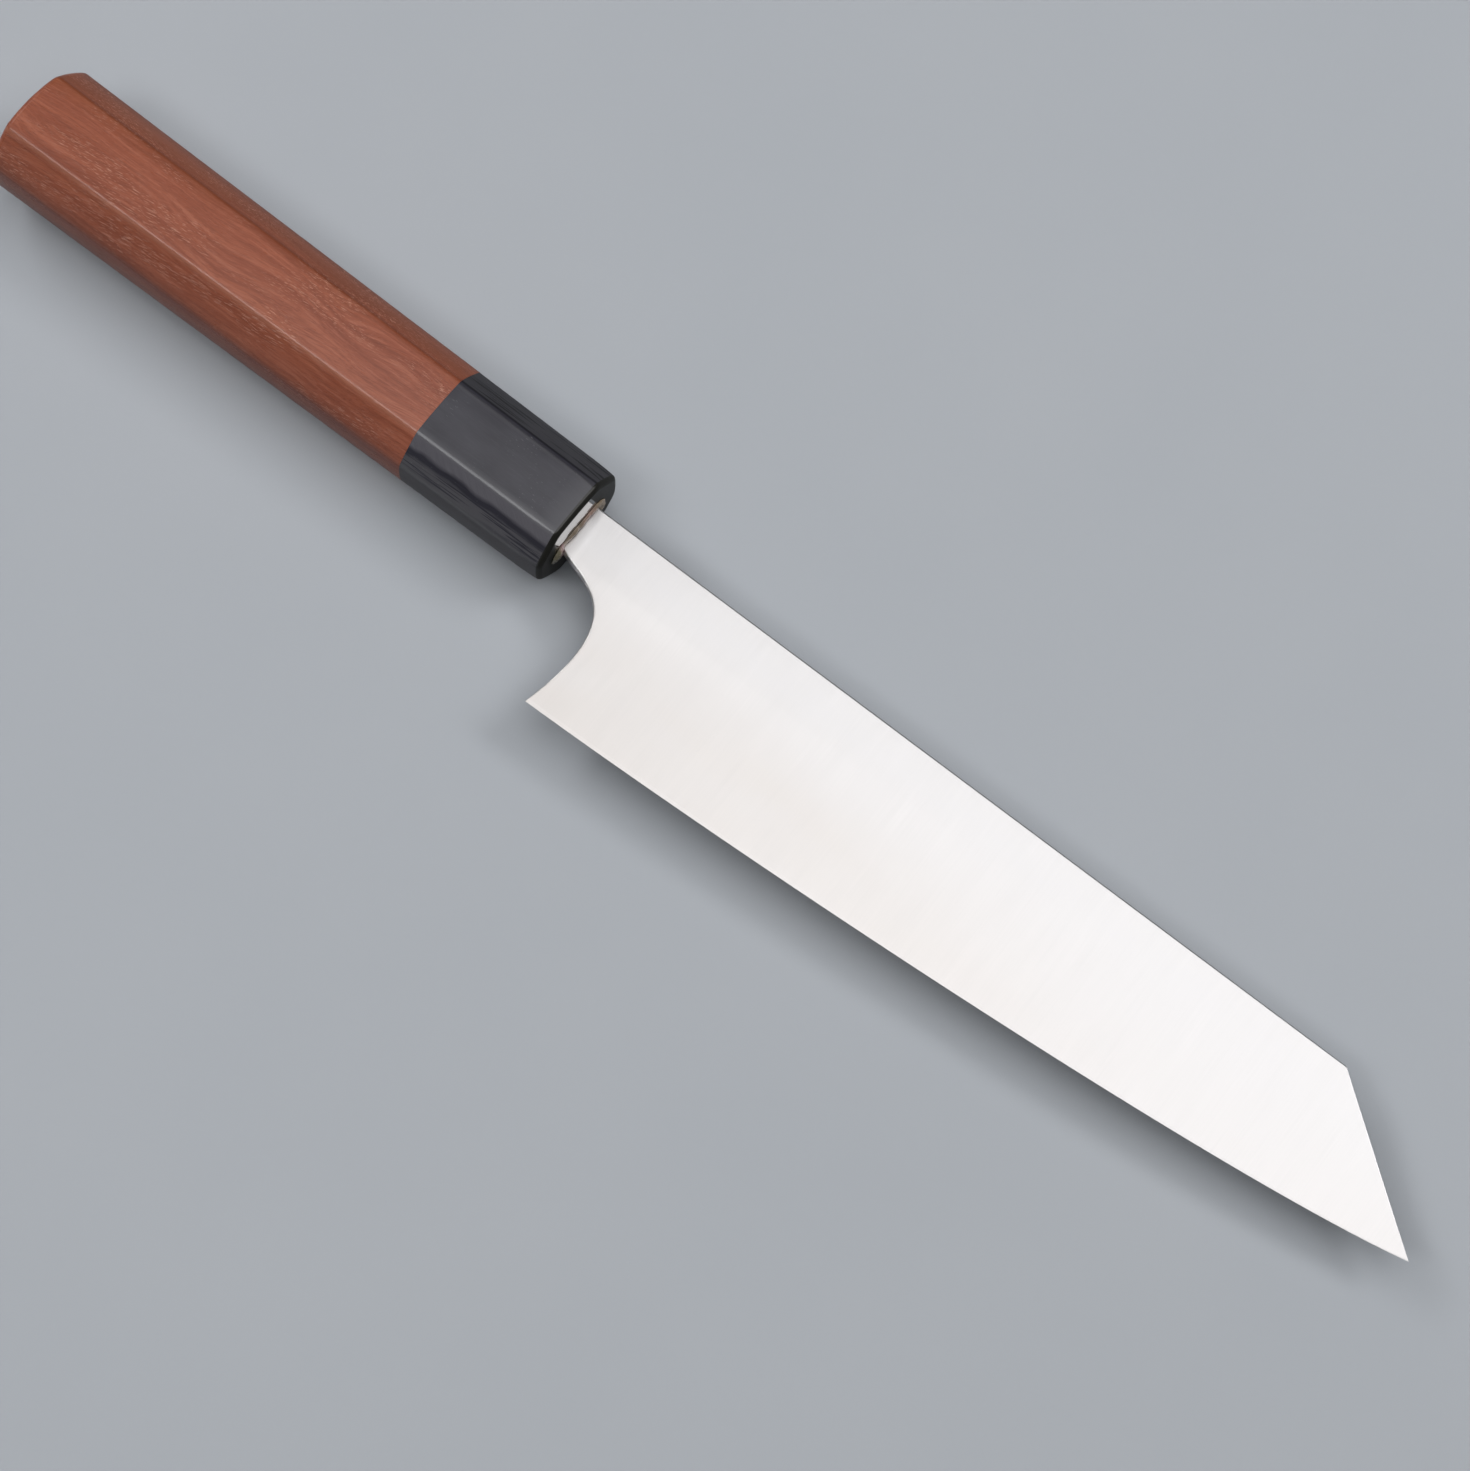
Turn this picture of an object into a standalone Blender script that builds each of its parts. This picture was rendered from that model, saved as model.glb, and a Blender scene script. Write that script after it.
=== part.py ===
"""Petty knife with an angled tip and an eight-sided wooden handle, in metres, +Z up.

The knife lies on the lower flat of its handle. The knife's own frame has its origin on the
handle's centre line at the ferrule's front face: +X runs to the tip, +Y to the spine and Z
through the blade's thickness. The empty knife_axis lays that frame down, so that the flat is
level at z = 0 and the middle of the handle body's flat is the world origin.
"""

import math

import bmesh
import bpy
from mathutils import Matrix, Vector

# Blade, seen from its side
EDGE_LENGTH = 0.165        # heel to tip, along the handle's line
HEEL_SETBACK = 0.0115      # heel, ahead of the ferrule
HEEL_DROP = 0.0336         # heel, below the spine
TIP_DROP = 0.01965         # tip, below the spine
CLIP_RUN = 0.0259          # length of the angled tip along the spine's line
SPINE_RISE = 0.0051        # spine, above the handle's centre line
NECK_HEIGHT = 0.0096       # neck where it leaves the ferrule
EDGE_HEEL_RUN = 0.042      # how far the edge keeps its direction at the heel
EDGE_HEEL_SLOPE = 0.0184
EDGE_TIP_RUN = 0.0322      # the same at the tip
EDGE_TIP_SLOPE = 0.2286
CHOIL_NECK_RUN = 0.0048    # how far the choil keeps its direction at the neck
CHOIL_NECK_SLOPE = -0.546
CHOIL_HEEL_RUN = 0.0235    # the same at the heel
CHOIL_HEEL_LEAN = 0.247

# Blade, through its thickness
SPINE_THICKNESS_NECK = 0.0021
SPINE_THICKNESS_CLIP = 0.0013
SHOULDER_THICKNESS = 0.0003    # behind the second bevel
SECOND_BEVEL_WIDTH = 0.0004
SPINE_EASING = 0.0005          # radius of the spine's rounded corners
GRIND_FULLNESS = 1.15          # 1 is a flat grind, more is convex
NECK_FULLNESS = 2.2            # the grind fades out towards the neck
NECK_FADE_LENGTH = 0.030

# Tang and core dowel, hidden in the handle
TANG_END_HEIGHT = 0.0055
DOWEL_COVER = 0.0003           # dowel beyond the neck's corners
DOWEL_CHAMFER = 0.0006
DOWEL_FRONT_DEPTH = 0.0062     # dowel's front end, behind the ferrule's front face
DOWEL_TAIL = 0.0080            # solid dowel behind the tang
BUTT_WALL = 0.0215             # solid wood behind the dowel

# Handle: eight-sided, larger at the butt
HANDLE_LENGTH = 0.1175
FERRULE_LENGTH = 0.0291
FRONT_HEIGHT = 0.0210      # across the narrow flats, at the ferrule's front
BUTT_HEIGHT = 0.0233
FRONT_THICKNESS = 0.0178   # across the wide flats
BUTT_THICKNESS = 0.0201
FRONT_WIDE_FLAT = 0.0115
BUTT_WIDE_FLAT = 0.01265
FRONT_NARROW_FLAT = 0.0068
BUTT_NARROW_FLAT = 0.0075
RIDGE_EASING = 0.0004
FERRULE_FRONT_RADIUS = 0.0014
BUTT_CROWN_RADIUS = 0.033
BUTT_EASING = 0.0006

# Slot for the neck and the resin that fills it
SLOT_MARGIN_HEIGHT = 0.0015    # slot beyond the neck, at each end
SLOT_MARGIN_THICKNESS = 0.0013
RESIN_PROUD = 0.0003           # bead ahead of the ferrule's front face

GAP = 0.0003                   # clearance that stands for each glue line
CUT_OVERRUN = 0.0010           # how far a cutter runs past the face that it opens
ROUNDING_LIMIT = 0.8           # most that a rounding takes of the spine's half thickness

CHOIL_ROWS = 16
NECK_ROWS = 4
BLADE_COLUMNS = 44
TANG_COLUMNS = 4
FLAT_STEPS = 5                 # divisions across each flat of the handle
ROUND_STEPS = 4                # divisions of a rounded edge
BORE_SIDES = 32
CROWN_RINGS = 5                # divisions from the butt's rim to its middle
SMOOTH_LIMIT = math.radians(22)

MIDDLE_OF_ROUND = 1 - math.sqrt(0.5)   # a quarter round's inset halfway, per radius


def clear_scene():
    for obj in list(bpy.data.objects):
        bpy.data.objects.remove(obj, do_unlink=True)


def make_material(name, color, roughness, metallic=0.0):
    material = bpy.data.materials.new(name)
    material.use_nodes = True
    shader = material.node_tree.nodes["Principled BSDF"]
    shader.inputs["Base Color"].default_value = (*color, 1.0)
    shader.inputs["Roughness"].default_value = roughness
    shader.inputs["Metallic"].default_value = metallic
    return material


def make_object(name, bm, material, parent, smooth=True):
    bmesh.ops.recalc_face_normals(bm, faces=bm.faces)
    mesh = bpy.data.meshes.new(name)
    bm.to_mesh(mesh)
    bm.free()
    if smooth:
        mesh.shade_smooth()
        mesh.set_sharp_from_angle(angle=SMOOTH_LIMIT)
    if material:
        mesh.materials.append(material)
    obj = bpy.data.objects.new(name, mesh)
    obj.parent = parent
    bpy.context.scene.collection.objects.link(obj)
    return obj


def cut_with(obj, name, bm):
    """Cuts a closed shape out of an object with a live Boolean."""
    cutter = make_object(name, bm, None, obj.parent, smooth=False)
    cutter.hide_render = True
    cutter.display_type = "WIRE"
    boolean = obj.modifiers.new(name, "BOOLEAN")
    boolean.operation = "DIFFERENCE"
    boolean.solver = "EXACT"
    boolean.object = cutter


def mix(a, b, share):
    return a + (b - a) * share


def bezier(p0, p1, p2, p3, t):
    s = 1 - t
    return p0 * s**3 + p1 * (3 * s * s * t) + p2 * (3 * s * t * t) + p3 * t**3


# Outline of the blade: four sides of a patch, each a function of a share from 0 to 1


def heel_point():
    return Vector((HEEL_SETBACK, SPINE_RISE - HEEL_DROP))


def tip_point():
    return Vector((HEEL_SETBACK + EDGE_LENGTH, SPINE_RISE - TIP_DROP))


def spine_side(u):
    return Vector((mix(0.0, tip_point().x - CLIP_RUN, u), SPINE_RISE))


def clip_side(v):
    return spine_side(1.0).lerp(tip_point(), v)


def edge_side(u):
    heel = heel_point()
    tip = tip_point()
    leave = heel + Vector((1.0, EDGE_HEEL_SLOPE)) * EDGE_HEEL_RUN
    arrive = tip - Vector((1.0, EDGE_TIP_SLOPE)) * EDGE_TIP_RUN
    return bezier(heel, leave, arrive, tip, u)


def choil_point(t):
    neck = Vector((0.0, SPINE_RISE - NECK_HEIGHT))
    heel = heel_point()
    leave = neck + Vector((1.0, CHOIL_NECK_SLOPE)) * CHOIL_NECK_RUN
    arrive = heel + Vector((CHOIL_HEEL_LEAN, 1.0)) * CHOIL_HEEL_RUN
    return bezier(neck, leave, arrive, heel, t)


def neck_share():
    """Share of the patch's rear side that is the neck, by height."""
    return NECK_HEIGHT / HEEL_DROP


def rear_side(v):
    share = neck_share()
    if v <= share:
        return Vector((0.0, SPINE_RISE - NECK_HEIGHT * v / share))
    return choil_point((v - share) / (1 - share))


def patch_point(u, v):
    """Point of the blade's side between its four boundary curves (a Coons patch)."""
    across = rear_side(v).lerp(clip_side(v), u)
    along = spine_side(u).lerp(edge_side(u), v)
    top = spine_side(0.0).lerp(spine_side(1.0), u)
    bottom = edge_side(0.0).lerp(edge_side(1.0), u)
    return across + along - top.lerp(bottom, v)


def blade_rows():
    """Shares down the blade's side: the eased spine, the neck, the choil, the second bevel."""
    easing = SPINE_EASING / HEEL_DROP
    bevel = SECOND_BEVEL_WIDTH / HEEL_DROP
    share = neck_share()
    rows = [0.0, MIDDLE_OF_ROUND * easing]
    rows += [mix(easing, share, i / NECK_ROWS) for i in range(NECK_ROWS)]
    rows += [mix(share, 1 - bevel, i / CHOIL_ROWS) for i in range(CHOIL_ROWS + 1)]
    return rows + [1.0]


def half_thickness(x, row, rows):
    """Half of the blade's thickness at a distance from the ferrule, on one row."""
    clip_x = tip_point().x - CLIP_RUN
    spine = mix(SPINE_THICKNESS_NECK, SPINE_THICKNESS_CLIP, max(0.0, x) / clip_x) / 2
    if row == len(rows) - 1:
        return 0.0
    fade = min(1.0, max(0.0, x) / NECK_FADE_LENGTH)
    fade = fade * fade * (3 - 2 * fade)
    ground = (rows[row] / rows[-2]) ** mix(NECK_FULLNESS, GRIND_FULLNESS, fade)
    half = mix(spine, SHOULDER_THICKNESS / 2, ground)
    easing = min(SPINE_EASING, ROUNDING_LIMIT * spine)
    corner = (easing, MIDDLE_OF_ROUND * easing)
    return half - corner[row] if row < len(corner) else half


def dowel_back():
    return BUTT_WALL - HANDLE_LENGTH


def tang_length():
    return -dowel_back() - DOWEL_TAIL


def tang_point(share, v):
    """Point of the tang's side: the neck's rows drawn together towards its end."""
    height = mix(NECK_HEIGHT, TANG_END_HEIGHT, share)
    middle = SPINE_RISE - NECK_HEIGHT / 2
    return Vector((-tang_length() * share, middle + height * (0.5 - v / neck_share())))


def add_mirrored_side(bm):
    """Closes a half surface with its mirror image in Z; vertices on Z = 0 are shared."""
    mirror = {}
    for vert in list(bm.verts):
        on_plane = vert.co.z == 0.0
        mirror[vert] = vert if on_plane else bm.verts.new((vert.co.x, vert.co.y, -vert.co.z))
    rim = [edge for edge in bm.edges if edge.is_boundary]
    for face in list(bm.faces):
        bm.faces.new([mirror[vert] for vert in reversed(face.verts)])
    for edge in rim:
        a, b = edge.verts
        ring = list(dict.fromkeys((a, b, mirror[b], mirror[a])))
        if len(ring) > 2:
            bm.faces.new(ring)


def build_blade(parent, material):
    bm = bmesh.new()
    rows = blade_rows()
    columns = []
    for i in range(TANG_COLUMNS):
        share = 1 - i / TANG_COLUMNS
        points = [tang_point(share, v) for v in rows if v <= neck_share()]
        columns.append([(p.x, p.y, half_thickness(p.x, r, rows)) for r, p in enumerate(points)])
    for i in range(BLADE_COLUMNS + 1):
        points = [patch_point(i / BLADE_COLUMNS, v) for v in rows]
        columns.append([(p.x, p.y, half_thickness(p.x, r, rows)) for r, p in enumerate(points)])
    grid = [[bm.verts.new(point) for point in column] for column in columns]
    for left, right in zip(grid, grid[1:]):
        for r in range(min(len(left), len(right)) - 1):
            bm.faces.new((left[r], left[r + 1], right[r + 1], right[r]))
    add_mirrored_side(bm)
    return make_object("blade", bm, material, parent)


# Handle


def handle_share(x):
    return -x / HANDLE_LENGTH


def handle_corners(x):
    """The eight corners (y, z) of the handle's section at x, in order."""
    share = handle_share(x)
    half_height = mix(FRONT_HEIGHT, BUTT_HEIGHT, share) / 2
    half_thick = mix(FRONT_THICKNESS, BUTT_THICKNESS, share) / 2
    wide = mix(FRONT_WIDE_FLAT, BUTT_WIDE_FLAT, share) / 2
    narrow = mix(FRONT_NARROW_FLAT, BUTT_NARROW_FLAT, share) / 2
    quarter = [(half_height, narrow), (wide, half_thick)]
    left = [(-y, z) for y, z in reversed(quarter)]
    upper = quarter + left
    lower = [(y, -z) for y, z in reversed(upper)]
    return [Vector(corner) for corner in upper + lower]


def handle_ring(x):
    """Section at x with eased ridges and divided flats, as a list of (y, z)."""
    corners = handle_corners(x)
    ring = []
    for i, corner in enumerate(corners):
        before = corners[i - 1]
        after = corners[(i + 1) % len(corners)]
        start = corner + (before - corner).normalized() * RIDGE_EASING
        end = corner + (after - corner).normalized() * RIDGE_EASING
        ring += [start, (start + end) / 4 + corner / 2, end]
        next_start = after + (corner - after).normalized() * RIDGE_EASING
        ring += [end.lerp(next_start, k / FLAT_STEPS) for k in range(1, FLAT_STEPS)]
    return ring


def inset_ring(ring, distance):
    """A ring drawn in towards the centre, by this distance at its wide flats."""
    half_thick = max(point.y for point in ring)
    return [point * (1 - distance / half_thick) for point in ring]


def add_ring(bm, ring, x_of):
    return [bm.verts.new((x_of(point), point.x, point.y)) for point in ring]


def bridge(bm, first, second):
    count = len(first)
    for i in range(count):
        j = (i + 1) % count
        bm.faces.new((first[i], first[j], second[j], second[i]))


def quarter_round(radius):
    """Steps (inset, depth) round an edge, from the side surface to the end face."""
    angles = [math.pi / 2 * i / ROUND_STEPS for i in range(ROUND_STEPS + 1)]
    return [(radius * (1 - math.cos(a)), radius * (1 - math.sin(a))) for a in angles]


def build_ferrule(parent, material):
    bm = bmesh.new()
    rings = [add_ring(bm, handle_ring(-FERRULE_LENGTH), lambda p: -FERRULE_LENGTH)]
    for inset, depth in quarter_round(FERRULE_FRONT_RADIUS):
        ring = inset_ring(handle_ring(-depth), inset)
        rings.append(add_ring(bm, ring, lambda p, x=-depth: x))
    for first, second in zip(rings, rings[1:]):
        bridge(bm, first, second)
    bm.faces.new(rings[0])
    bm.faces.new(rings[-1])
    ferrule = make_object("ferrule", bm, material, parent)
    bore_back = -FERRULE_LENGTH - CUT_OVERRUN
    cut_with(ferrule, "cut_ferrule_bore", bore(bore_back, -DOWEL_FRONT_DEPTH + GAP))
    cut_with(ferrule, "cut_neck_slot", slot(-DOWEL_FRONT_DEPTH, CUT_OVERRUN, 0.0))
    return ferrule


def crown_x(point):
    """The butt's crowned end face, as x at a point (y, z) of the section."""
    return -HANDLE_LENGTH + point.length_squared / (2 * BUTT_CROWN_RADIUS)


def butt_ring(depth):
    """The sides' outline this far ahead of the crowned end, each point at its own x."""
    end = handle_ring(-HANDLE_LENGTH)
    return [handle_ring(crown_x(point) + depth)[i] for i, point in enumerate(end)]


def build_handle_body(parent, material):
    bm = bmesh.new()
    front = -FERRULE_LENGTH - GAP
    rings = [add_ring(bm, handle_ring(front), lambda p: front)]
    for inset, depth in quarter_round(BUTT_EASING):
        ring = inset_ring(butt_ring(depth), inset)
        rings.append(add_ring(bm, ring, lambda p, d=depth: crown_x(p) + d))
    flat = inset_ring(butt_ring(0.0), BUTT_EASING)
    for i in range(1, CROWN_RINGS):
        share = 1 - i / CROWN_RINGS
        rings.append(add_ring(bm, [point * share for point in flat], crown_x))
    for first, second in zip(rings, rings[1:]):
        bridge(bm, first, second)
    bm.faces.new(rings[0])
    centre = bm.verts.new((-HANDLE_LENGTH, 0.0, 0.0))
    last = rings[-1]
    for i, vert in enumerate(last):
        bm.faces.new((vert, last[(i + 1) % len(last)], centre))
    body = make_object("handle_body", bm, material, parent)
    cut_with(body, "cut_body_bore", bore(dowel_back() - GAP, front + CUT_OVERRUN))
    return body


# Dowel, slot and resin


def dowel_diameter():
    """The dowel just covers the neck's corners."""
    corner = Vector((max(SPINE_RISE, NECK_HEIGHT - SPINE_RISE), SPINE_THICKNESS_NECK / 2))
    return 2 * (corner.length + DOWEL_COVER)


def cylinder(x_back, x_front, diameter):
    bm = bmesh.new()
    middle = (x_back + x_front) / 2
    place = Matrix.Translation((middle, 0.0, 0.0)) @ Matrix.Rotation(math.pi / 2, 4, "Y")
    bmesh.ops.create_cone(
        bm, cap_ends=True, segments=BORE_SIDES, radius1=diameter / 2, radius2=diameter / 2,
        depth=x_front - x_back, matrix=place,
    )
    return bm


def bore(x_back, x_front):
    return cylinder(x_back, x_front, dowel_diameter() + 2 * GAP)


def rounded_slot_outline(height, thickness):
    """A slot's outline with round ends, centred on the neck, as a list of (y, z)."""
    radius = thickness / 2
    reach = height / 2 - radius
    middle = SPINE_RISE - NECK_HEIGHT / 2
    steps = 2 * ROUND_STEPS
    outline = []
    for end in (1, -1):
        for i in range(steps + 1):
            angle = math.pi * (i / steps - 0.5)
            y = end * (reach + radius * math.cos(angle))
            outline.append((middle + y, end * radius * math.sin(angle)))
    return outline


def prism(outline, x_back, x_front):
    bm = bmesh.new()
    back = [bm.verts.new((x_back, y, z)) for y, z in outline]
    front = [bm.verts.new((x_front, y, z)) for y, z in outline]
    bridge(bm, back, front)
    bm.faces.new(back)
    bm.faces.new(front)
    return bm


def slot(x_back, x_front, inset):
    height = NECK_HEIGHT + 2 * SLOT_MARGIN_HEIGHT - 2 * inset
    thickness = SPINE_THICKNESS_NECK + 2 * SLOT_MARGIN_THICKNESS - 2 * inset
    return prism(rounded_slot_outline(height, thickness), x_back, x_front)


def box(low, high):
    bm = bmesh.new()
    size = Vector(high) - Vector(low)
    middle = (Vector(high) + Vector(low)) / 2
    place = Matrix.Translation(middle) @ Matrix.Diagonal((*size, 1.0))
    bmesh.ops.create_cube(bm, size=1.0, matrix=place)
    return bm


def build_core_dowel(parent, material):
    front = -DOWEL_FRONT_DEPTH
    bm = cylinder(dowel_back(), front, dowel_diameter())
    rims = [edge for edge in bm.edges if abs(edge.verts[0].co.x - edge.verts[1].co.x) < GAP]
    bmesh.ops.bevel(bm, geom=rims, offset=DOWEL_CHAMFER, segments=1, affect="EDGES")
    dowel = make_object("core_dowel", bm, material, parent)
    half = SPINE_THICKNESS_NECK / 2 + GAP
    reach = dowel_diameter()
    kerf = box((-tang_length() - GAP, -reach, -half), (front + CUT_OVERRUN, reach, half))
    cut_with(dowel, "cut_dowel_kerf", kerf)
    return dowel


def build_mouth_resin(parent, material):
    back = -DOWEL_FRONT_DEPTH + GAP
    bm = slot(back, RESIN_PROUD, GAP)
    resin = make_object("mouth_resin", bm, material, parent)
    half = SPINE_THICKNESS_NECK / 2 + GAP
    top = SPINE_RISE + GAP
    bottom = SPINE_RISE - NECK_HEIGHT - GAP
    low = (back - CUT_OVERRUN, bottom, -half)
    neck = box(low, (RESIN_PROUD + CUT_OVERRUN, top, half))
    cut_with(resin, "cut_resin_neck", neck)
    return resin


def make_knife_axis():
    """The empty that lays the knife's own frame on the handle's lower flat."""
    lean = math.atan2((BUTT_THICKNESS - FRONT_THICKNESS) / 2, HANDLE_LENGTH)
    middle_x = -(FERRULE_LENGTH + HANDLE_LENGTH) / 2
    middle_thickness = mix(FRONT_THICKNESS, BUTT_THICKNESS, handle_share(middle_x))
    turn = Matrix.Rotation(lean, 4, "Y")
    axis = bpy.data.objects.new("knife_axis", None)
    axis.rotation_euler = (0.0, lean, 0.0)
    axis.location = -(turn @ Vector((middle_x, 0.0, -middle_thickness / 2)))
    bpy.context.scene.collection.objects.link(axis)
    return axis


def main():
    clear_scene()
    axis = make_knife_axis()
    build_blade(axis, make_material("satin steel", (0.80, 0.79, 0.78), 0.32, 1.0))
    build_ferrule(axis, make_material("black wood", (0.018, 0.017, 0.018), 0.38))
    build_handle_body(axis, make_material("red-brown wood", (0.26, 0.095, 0.06), 0.45))
    build_core_dowel(axis, make_material("pale dowel wood", (0.62, 0.46, 0.28), 0.6))
    build_mouth_resin(axis, make_material("amber resin", (0.36, 0.19, 0.06), 0.25))


main()
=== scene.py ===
import math

import bmesh
import bpy
import numpy as np
from mathutils import Matrix, Vector, noise


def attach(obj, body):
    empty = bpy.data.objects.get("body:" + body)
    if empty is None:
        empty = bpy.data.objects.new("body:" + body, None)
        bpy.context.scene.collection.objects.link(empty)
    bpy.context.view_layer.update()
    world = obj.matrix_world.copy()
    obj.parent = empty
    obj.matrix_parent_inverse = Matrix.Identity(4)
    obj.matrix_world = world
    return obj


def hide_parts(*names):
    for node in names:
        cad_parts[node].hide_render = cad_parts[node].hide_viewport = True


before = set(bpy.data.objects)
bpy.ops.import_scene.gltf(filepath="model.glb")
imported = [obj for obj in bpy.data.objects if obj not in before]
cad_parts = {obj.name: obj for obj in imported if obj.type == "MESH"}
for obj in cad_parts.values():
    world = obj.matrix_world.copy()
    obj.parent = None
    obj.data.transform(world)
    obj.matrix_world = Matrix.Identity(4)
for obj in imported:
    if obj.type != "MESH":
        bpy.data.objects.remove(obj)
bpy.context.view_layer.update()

# Blade
# One forged and ground piece of satin steel: the blade with its angled tip, the neck and a stick
# tang that runs into the handle. Spine, choil and clip are eased by hand, and the edge has a
# narrow second bevel. The tang is glued into the dowel's kerf.

# The knife lies on its handle's lower flat, so its own line leans a little over the table.
knife_lean = math.radians(0.5608)
ferrule_face = Vector((0.07339, 0.0, 0.0089))
knife_lay = Matrix.Translation(ferrule_face) @ Matrix.Rotation(knife_lean, 4, "Y")

edge_length = 0.165
heel_setback = 0.0115             # heel ahead of the ferrule's face
heel_drop = 0.0333                # heel below the spine
tip_drop = 0.01935                # tip below the spine
clip_run = 0.0255                 # length of the angled tip along the spine's line
spine_rise = 0.0048               # spine above the handle's middle line
neck_height = 0.0093
edge_heel_run = 0.042             # how far the edge keeps its slope at the heel
edge_heel_slope = 0.0184
edge_tip_run = 0.0322             # the same at the tip
edge_tip_slope = 0.2286
choil_neck_run = 0.0048           # how far the choil keeps its slope at the neck
choil_neck_slope = -0.546
choil_heel_run = 0.0235           # the same at the heel, where it leans ahead
choil_heel_lean = 0.247
tang_length = 0.088
tang_end_height = 0.0055
spine_thickness_neck = 0.0021
spine_thickness_clip = 0.0013
shoulder_thickness_heel = 0.00015
shoulder_thickness_tip = 0.00008  # both just behind the second bevel
second_bevel_width = 0.00025
spine_easing = 0.00033            # radius of the spine's rounded corners
choil_easing_at_neck = 0.00045
choil_easing_at_heel = 0.00015
clip_easing = 0.00015
rounding_limit = 0.8              # most that a rounding takes of the half thickness
grind_fullness = 1.15             # 1 is a flat grind, more is convex
neck_fullness = 2.2               # the grind fades out towards the neck
neck_fade_length = 0.030
half_blade_length = 0.08
choil_steps = 300
choil_rows = 40
tang_columns = 8
steel_by_tip = (0.548, 0.537, 0.540)
steel_by_heel = (0.563, 0.551, 0.554)
warm_steel = (0.537, 0.508, 0.489)
mouth_reflection_shade_brown = (0.46, 0.39, 0.36)
grinding_grey = (0.45, 0.45, 0.45)
dull_shaded_spine_grey = (0.20, 0.20, 0.21)

heel = Vector((heel_setback, spine_rise - heel_drop))
tip = Vector((heel_setback + edge_length, spine_rise - tip_drop))
neck_foot = Vector((0.0, spine_rise - neck_height))
neck_middle = spine_rise - neck_height / 2
neck_part = neck_height / heel_drop
shoulder_part = 1 - second_bevel_width / heel_drop


def mix(a, b, share):
    return a + (b - a) * share


def curve_through(start, leave, arrive, end, t):
    """Point of a smooth curve that leaves one end and arrives at the other as told."""
    s = 1 - t
    return start * s**3 + leave * (3 * s * s * t) + arrive * (3 * s * t * t) + end * t**3


def spine_line(u):
    return Vector((mix(0.0, tip.x - clip_run, u), spine_rise))


def clip_line(v):
    return spine_line(1.0).lerp(tip, v)


def edge_line(u):
    leave = heel + Vector((1.0, edge_heel_slope)) * edge_heel_run
    arrive = tip - Vector((1.0, edge_tip_slope)) * edge_tip_run
    return curve_through(heel, leave, arrive, tip, u)


def choil_line(t):
    leave = neck_foot + Vector((1.0, choil_neck_slope)) * choil_neck_run
    arrive = heel + Vector((choil_heel_lean, 1.0)) * choil_heel_run
    return curve_through(neck_foot, leave, arrive, heel, t)


def rear_line(v):
    if v <= neck_part:
        return Vector((0.0, spine_rise - heel_drop * v))
    return choil_line((v - neck_part) / (1 - neck_part))


def blade_point(u, v):
    """Point of the blade's side, from spine (v = 0) to edge (1) and neck (u = 0) to clip (1)."""
    across = rear_line(v).lerp(clip_line(v), u)
    along = spine_line(u).lerp(edge_line(u), v)
    top = spine_line(0.0).lerp(spine_line(1.0), u)
    bottom = heel.lerp(tip, u)
    return across + along - top.lerp(bottom, v)


def soft_step(share):
    """A share from 0 to 1 that starts and ends gently."""
    return share * share * (3 - 2 * share)


def ground_half(x, v):
    """Half of the blade's thickness as ground, before its outline is eased."""
    ahead = max(0.0, x)
    spine = mix(spine_thickness_neck, spine_thickness_clip, ahead / spine_line(1.0).x) / 2
    shoulder = mix(shoulder_thickness_heel, shoulder_thickness_tip, ahead / tip.x) / 2
    fade = soft_step(min(1.0, ahead / neck_fade_length))
    share = min(1.0, v / shoulder_part)
    return mix(spine, shoulder, share ** mix(neck_fullness, grind_fullness, fade))


def eased(half, distance, easing):
    """Half thickness at this distance from an outline whose corners are rounded off."""
    radius = min(easing, rounding_limit * half)
    inset = radius - min(max(distance, 0.0), radius)
    return half - radius + math.sqrt(radius**2 - inset**2)


choil_dots = np.array([choil_line(i / choil_steps) for i in range(choil_steps + 1)])


def distance_to_choil(point):
    return float(np.sqrt(((choil_dots - np.array(point)) ** 2).sum(1).min()))


def distance_to_clip(point):
    along = (tip - spine_line(1.0)).normalized()
    return abs(along.cross(point - spine_line(1.0)))


def choil_easing(point):
    """The choil is rounded most beside the neck and least at the heel."""
    share = min(1.0, (point - neck_foot).length / (heel - neck_foot).length)
    return mix(choil_easing_at_neck, choil_easing_at_heel, share)


def side_half(point, v):
    ground = ground_half(point.x, v)
    half = eased(ground, spine_rise - point.y, spine_easing)
    half = min(half, eased(ground, distance_to_clip(point), clip_easing))
    rear = distance_to_choil(point) if point.x > 0 else point.y - neck_foot.y
    return min(half, eased(ground, rear, choil_easing(point)))


def tang_dot(share, v):
    """Point of the tang's side: the neck's rows drawn together towards its end."""
    height = mix(neck_height, tang_end_height, share)
    return Vector((-tang_length * share, neck_middle + height * (0.5 - v / neck_part)))


def rows_from_rim(rim_size, total, rim_steps, steps):
    """Shares of a length: close steps over a rounded rim, then even ones."""
    close = [rim_size * (1 - math.cos(math.pi / 2 * i / rim_steps)) for i in range(rim_steps + 1)]
    wide = [mix(rim_size, 2.5 * rim_size, i / 3) for i in range(1, 4)]
    rim = [d / total for d in close + wide]
    return rim + [mix(rim[-1], 1.0, i / steps) for i in range(1, steps + 1)]


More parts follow.
